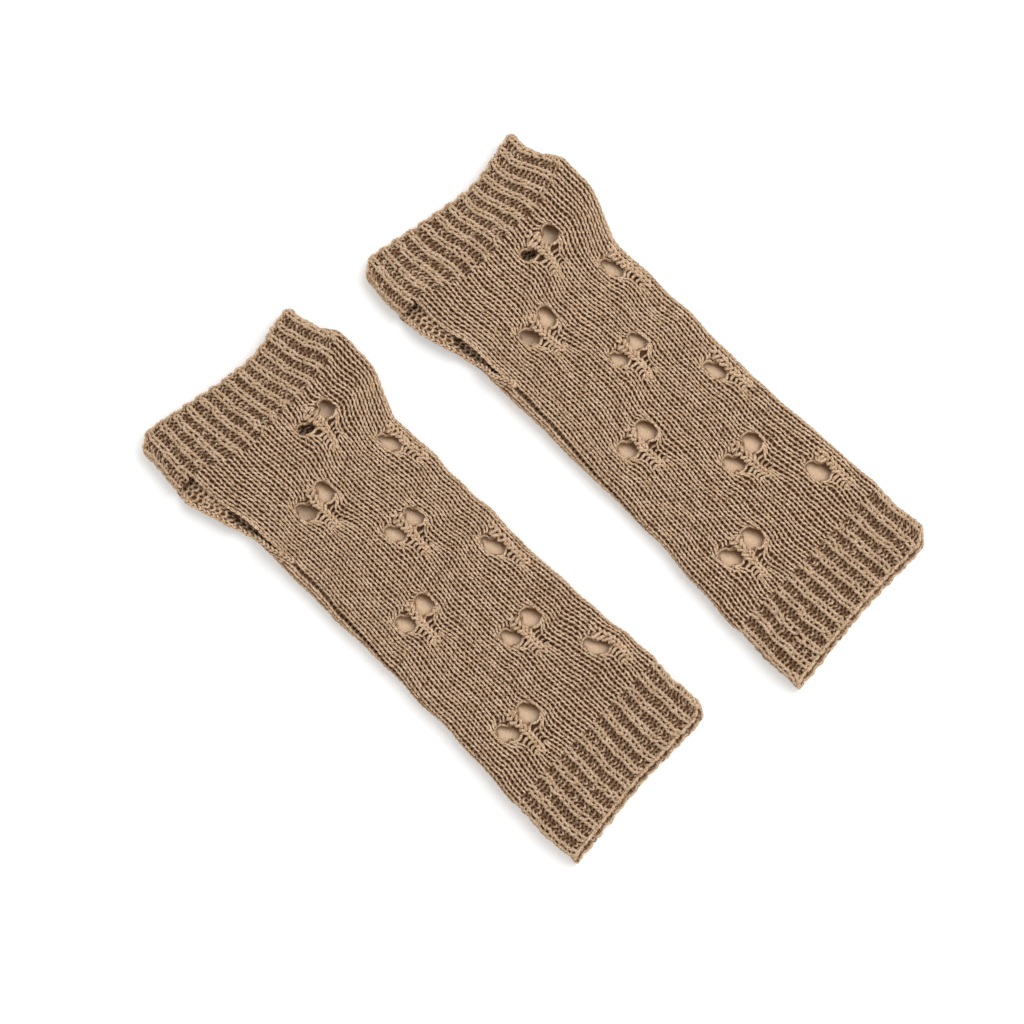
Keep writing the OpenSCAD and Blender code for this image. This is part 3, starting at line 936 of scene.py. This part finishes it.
# A smooth cloth just under the front shows through the eyelets
lining = {
    "depth": -2.3 * mm,
    "margin": 3 * mm,
    "past": 2 * mm,  # how far it goes on round the fold
    "columns": 57,
    "step": 1.5 * mm,
    "gap": 4.6 * mm,  # one eyelet of the first pair shows the dark inside without it
    "gapAside": 1 * mm,
    "out": 1.85,  # from a pair's middle to an open eyelet's, in wales
    "tilt": 0.3,  # it presses up against one side of each eyelet and falls away from the other
    "patch": 5 * mm,
    "deep": 2.8 * mm,  # it lies deeper in the first pair, and in half of the second
    "hole": 3.1 * mm,  # an open eyelet's radius
    "shadeWay": (0.92, 0.38),  # the way in which its painted shade darkens it
    "shadeReach": 2.2,  # how far out, in radii of the hole
    "shadeFade": 0.6,
}


def buildLining(own, plans):
    across = np.linspace(0, 1, lining["columns"])
    along = np.arange(armJoin + lining["margin"], handJoin - lining["margin"], lining["step"])
    s, y = np.meshgrid(across, along)
    x = mix(frontEdge(y) + lining["margin"], frontLeft(y) + frontWidth(y) + lining["past"], s)
    first, second = plans[:2]
    gapX = first["x"] - eyelets["middle"] * first["wale"] - lining["gapAside"]
    gapY = first["y"] - lining["gapAside"]
    keep = np.hypot(x[:-1, :-1] - gapX, y[:-1, :-1] - gapY) >= lining["gap"]
    wayX, wayY = lining["shadeWay"]
    depth = lining["depth"]
    paintedShade = 0 * x
    for plan in plans:
        for turned in plan["sides"]:
            dx = x - plan["x"] - turned * lining["out"] * plan["wale"]
            dy = y - plan["y"]
            near = np.exp(-(dx ** 2 + dy ** 2) ** 2 / lining["patch"] ** 4)
            deeper = plan is first or (plan is second and turned < 0)
            depth = depth - lining["tilt"] * dx * near - lining["deep"] * near * deeper
            # painted shadow on the side of each eyelet that faces the lamp, where the rim would shade the
            # cloth
            shade = ease((wayX * dx + wayY * dy) / lining["hole"])
            inside = ease((lining["shadeReach"] - np.hypot(dx, dy) / lining["hole"]) / lining["shadeFade"])
            paintedShade = np.maximum(paintedShade, shade * inside)
    points = frontPlace(x, y, depth, own)[0]
    return sheetPiece(own, "lining", points, innerCloth, keep, paintedShade)


# The inside of the back, where it lies open beside the thumb slit: thicker yarn with less painted shade, and
# its dark sheet of painted shade nearer
slitInside = {"wales": 8, "fade": 3, "below": 10 * mm, "ridge": 0.4, "shadeSheet": 0.6 * mm}


def shadeSheetGrid(knit, step):
    return np.meshgrid(np.arange(0, knit["wales"] + 0.1, step), np.arange(0, knit["rows"] + 0.1, 1))


def slitShown(across, along):
    overWidth = ease((across - backKnit["wales"] + slitInside["wales"]) / slitInside["fade"])
    return overWidth * ease((armJoin + along * course - slitEnd + slitInside["below"]) / slitInside["below"])


def buildBack(own):
    paths = stitchPaths(backKnit["rows"], backKnit["wales"], own["seed"] + 20)
    paths["ridge"] = slitInside["ridge"] * slitShown(paths["across"], paths["along"])

    def place(across, along, out):
        y = armJoin + along * course
        return backPlace(across / backKnit["wales"] * backWidth(y), y, out, own)

    knit = knitted(own, "back_knit", place, paths, backKnit, bodyYarn)
    # the dark sheet behind the back's stitches is painted shade
    across, along = shadeSheetGrid(backKnit, 0.5)
    depth = slitShown(across, along) * slitInside["shadeSheet"]
    shadeSheet = sheetPiece(own, "back_core", place(across, along, depth)[0], shadowYarn)
    return knit, shadeSheet


ribCuff = {
    "start": 0.72,  # the rounds of a cuff begin under the glove
    "short": 0.4,  # how much of the last course's height is left out
    # the dark sheet of painted shade behind the ribs follows them, and lies this far behind
    "shadeSheetFollow": 0.7,
    "shadeSheetBehind": 0.75 * mm,
}


def handEnds(v):
    return lambda x, z: mix(handJoin + rise(x), handLine(x), v)


def armEnds(v):
    return lambda x, z: mix(armJoin, armLine(x, z), v)


def ribWave(across):
    # 1 on the middle of a raised wale and -1 in the furrow beside it
    return np.cos(math.pi * (across - ribStitch["wide"]))


def buildCuff(own, knit, name, top, end, ends):
    paths = stitchPaths(knit["rows"], knit["wales"], own["seed"] + 30, ribStitch)

    def place(across, along, out):
        v = along / (knit["rows"] - ribCuff["short"])
        share = np.mod(across / knit["wales"] + ribCuff["start"], 1.0)
        return tubePlace(share, mix(top, end, v), out - knit["inset"], ends(v), own)

    ribs = knitted(own, name + "_knit", place, paths, knit, shadedRibYarn)
    # the dark sheet behind the ribs is painted shade
    across, along = shadeSheetGrid(knit, 0.25)
    behind = ribCuff["shadeSheetFollow"] * knit["ridge"] * ribWave(across) - ribCuff["shadeSheetBehind"]
    shadeSheet = sheetPiece(own, name + "_core", place(across, along, behind)[0], shadowYarn)
    return ribs, shadeSheet


beadShare = 0.6


def chainPaths(links, seed, showing, shape=stitch):
    # one link a round, each link a bead: fuller, and freer of painted shade, in the middle of its legs
    paths = stitchPaths(links, 1, seed, shape)
    paths["ridge"] = showing + paths["lift"] * beadShare
    return paths


# The chain that closes off the last round of a cuff stands on edge and follows the ribs
edgeChain = {
    "links": {"hand": 1.5, "arm": 1.2},  # to a wale
    "scallop": {"hand": 0.35 * mm, "arm": 0.3 * mm},
    "width": 1.6 * mm,
    "follow": 0.5,
    "showing": 0.4,
}


def buildEdge(own, name, knit, end, ends, length):
    cuff = name.split("_")[0]
    perWale = edgeChain["links"][cuff]
    links = int(knit["wales"] * perWale)
    paths = chainPaths(links, own["seed"] + 40, edgeChain["showing"])
    line = ends(1)

    def place(across, along, out):
        swell = ribWave(along / perWale)
        follow = edgeChain["follow"] * knit["ridge"] * swell
        depth = (0.5 - across) * edgeChain["width"] + follow - knit["inset"]
        reach = length / 2 + math.copysign(edgeChain["scallop"][cuff], length) * swell
        share = np.mod(along / links + ribCuff["start"], 1.0)
        points, outward = tubePlace(share, end, depth, lambda x, z: line(x, z) + reach, own)
        return points, stacked(0, math.copysign(1, length), 0 * outward[..., 0])

    return knitted(own, name, place, paths, edgeKnit, litEdgeYarn)


# The linked seam lies sunk in the groove between front and back, its yarn darkened as painted shade
seamChain = {"link": 2.9 * mm, "sunk": 1.7 * mm, "showing": -0.5}


def buildSeam(own):
    links = int((slitEnd - armJoin) / seamChain["link"])
    paths = chainPaths(links, own["seed"] + 50, seamChain["showing"])

    def place(across, along, out):
        y = mix(armJoin, slitEnd, along / links)
        distance = backWidth(y) + across * seamPath["width"]
        return backPlace(distance, y, out - seamChain["sunk"], own)

    return knitted(own, "side_seam_chain", place, paths, seamKnit, shadedSeamYarn)


# Beside the thumb slit each layer ends in a chain of its own; the back's is a rolled one
slitEdge = {
    "link": 2.1 * mm,
    "frontWidth": 1.1 * mm,
    "frontOver": 1.1,  # how far the front's chain stands out, in its own widths
    "roll": 0.9 * mm,
    "sweep": 2.3,
    "tilt": 0.35,
    "inset": 1.1 * mm,
    "tuck": 1.4 * mm,  # it goes in further next to the cuff
    "tuckFrom": 10 * mm,
    "tuckRun": 14 * mm,
}


def buildSelvedges(own):
    links = int((handJoin + cuffLine["joinRise"] - slitEnd) / slitEdge["link"])

    def frontChain(across, along, out):
        y = mix(slitEnd, handJoin, along / links)
        start = frontLeft(y) + (across - slitEdge["frontOver"]) * slitEdge["frontWidth"]
        return frontPlace(start, y, out, own)

    def backChain(across, along, out):
        y = mix(slitEnd, handJoin, along / links)
        points = backPlace(backWidth(y), y, 0, own)[0]
        turn = (across - 0.5) * slitEdge["sweep"] + slitEdge["tilt"]
        rolled = stacked(-np.sin(turn), 0, np.cos(turn))
        tucked = ease((y - handJoin + slitEdge["tuckFrom"]) / slitEdge["tuckRun"])
        inward = slitEdge["inset"] + slitEdge["tuck"] * tucked
        return points + slitEdge["roll"] * rolled + stacked(inward, 0, 0 * inward), rolled

    chains = []
    for name, extra, place in (("front", 60, frontChain), ("back", 70, backChain)):
        paths = chainPaths(links, own["seed"] + extra, 0, slitStitch)
        chains.append(knitted(own, "slit_edge_" + name, place, paths, slitKnit, litEdgeYarn, extra))
    return chains


def foldWithCuff(piece):
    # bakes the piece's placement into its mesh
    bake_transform(piece)


def buildGlove(side, wave, plans):
    own = {**wave, "side": side, "middle": gloveMiddle(side)}
    front = buildFront(own, plans)
    back = buildBack(own)
    inner = buildLining(own, plans)
    hand = buildCuff(own, handRibKnit, "hand_rib", handJoin, handEnd, handEnds)
    arm = buildCuff(own, armRibKnit, "arm_rib", armJoin, armEnd, armEnds)
    handEdge = buildEdge(own, "hand_edge_chain", handRibKnit, handEnd, handEnds,
                         glove["handEdgeLength"])
    armEdge = buildEdge(own, "arm_edge_chain", armRibKnit, armEnd, armEnds, -glove["armEdgeLength"])
    seam = buildSeam(own)
    selvedges = buildSelvedges(own)
    for piece in (*front, *back, *hand, *selvedges):
        foldWithCuff(piece)
    for piece in arm:
        foldWithCuff(piece)
    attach(inner, side + "_glove")
    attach(seam, side + "_glove")
    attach(handEdge, side + "_hand_cuff")
    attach(armEdge, side + "_arm_cuff")
    for piece, node in ((front[0], "front_body"), (back[0], "back_body"), (hand[0], "hand_rib"),
                        (arm[0], "arm_rib"), (handEdge, "hand_edge"), (armEdge, "arm_edge"),
                        (seam, "side_seam")):
        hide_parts(side + "_" + node)
    for pieces, slot in (((*front, *back, inner), "knit_body"), ((*hand, *arm), "knit_rib"),
                         ((handEdge, armEdge, *selvedges), "edge_yarn"), ((seam,), "seam_yarn")):
        for piece in pieces:
            print("built", piece.name, sum(len(p.vertices) - 2 for p in piece.data.polygons), "triangles")


plans = eyeletPlans()
for side, wave in waves.items():
    buildGlove(side, wave, plans)

# The camera looks straight down, turned so that the pair lies across the view
studio = {"middle": (-14.6 * mm, 3.3 * mm), "view": 430 * mm, "lens": 100, "sensor": 36, "turn": -45.73}
cameraData = bpy.data.cameras.new("camera")
cameraData.lens = studio["lens"]
cameraData.sensor_width = studio["sensor"]
camera = linkObject("camera", cameraData)
camera.location = (*studio["middle"], studio["view"] * studio["lens"] / studio["sensor"] + thick)
camera.rotation_euler = (0, 0, math.radians(studio["turn"]))
bpy.context.scene.camera = camera

# White paper, matt: it bleaches out to the camera and keeps the shadow under the gloves
paper = {"colour": "#F7F7F6", "roughness": 0.95, "specular": 0.1, "bleach": 0.14, "half": 3.0}
floorPaper, add = newMaterial("white paper")
rays = add("ShaderNodeLightPath").outputs
mirrored = add("ShaderNodeMath", {0: rays["Is Glossy Ray"], 1: rays["Is Transmission Ray"]}, operation="ADD")
seen = add("ShaderNodeMath", {0: rays["Is Camera Ray"], 1: mirrored}, operation="ADD", use_clamp=True)
bleach = add("ShaderNodeMath", {0: seen, 1: paper["bleach"]}, operation="MULTIPLY")
shader = add("ShaderNodeBsdfPrincipled", {
    "Base Color": linear(paper["colour"]), "Roughness": paper["roughness"],
    "Specular IOR Level": paper["specular"], "Emission Color": (1, 1, 1, 1), "Emission Strength": bleach})
add("ShaderNodeOutputMaterial", {"Surface": shader})
floorMesh = bpy.data.meshes.new("floor")
corners = [(paper["half"] * x, paper["half"] * y, 0) for x, y in ((-1, -1), (1, -1), (1, 1), (-1, 1))]
floorMesh.from_pydata(corners, [], [(0, 1, 2, 3)])
floorMesh.materials.append(floorPaper)
floor = linkObject("floor", floorMesh)

keyLamp = {"place": (1.0, 0.05, 1.4), "size": 1.2, "energy": 16}
skyLight = 0.8
lampData = bpy.data.lights.new("key", "AREA")
lampData.size = keyLamp["size"]
lampData.energy = keyLamp["energy"]
light = linkObject("key", lampData)
light.location = keyLamp["place"]
light.rotation_euler = (-Vector(keyLamp["place"])).to_track_quat("-Z", "Y").to_euler()
world = bpy.data.worlds.new("studio")
bpy.context.scene.world = world
world.use_nodes = True
sky = world.node_tree.nodes["Background"].inputs
sky["Color"].default_value = (1, 1, 1, 1)
sky["Strength"].default_value = skyLight
bpy.context.scene.view_settings.view_transform = "Standard"
print("camera, paper and lamp placed")
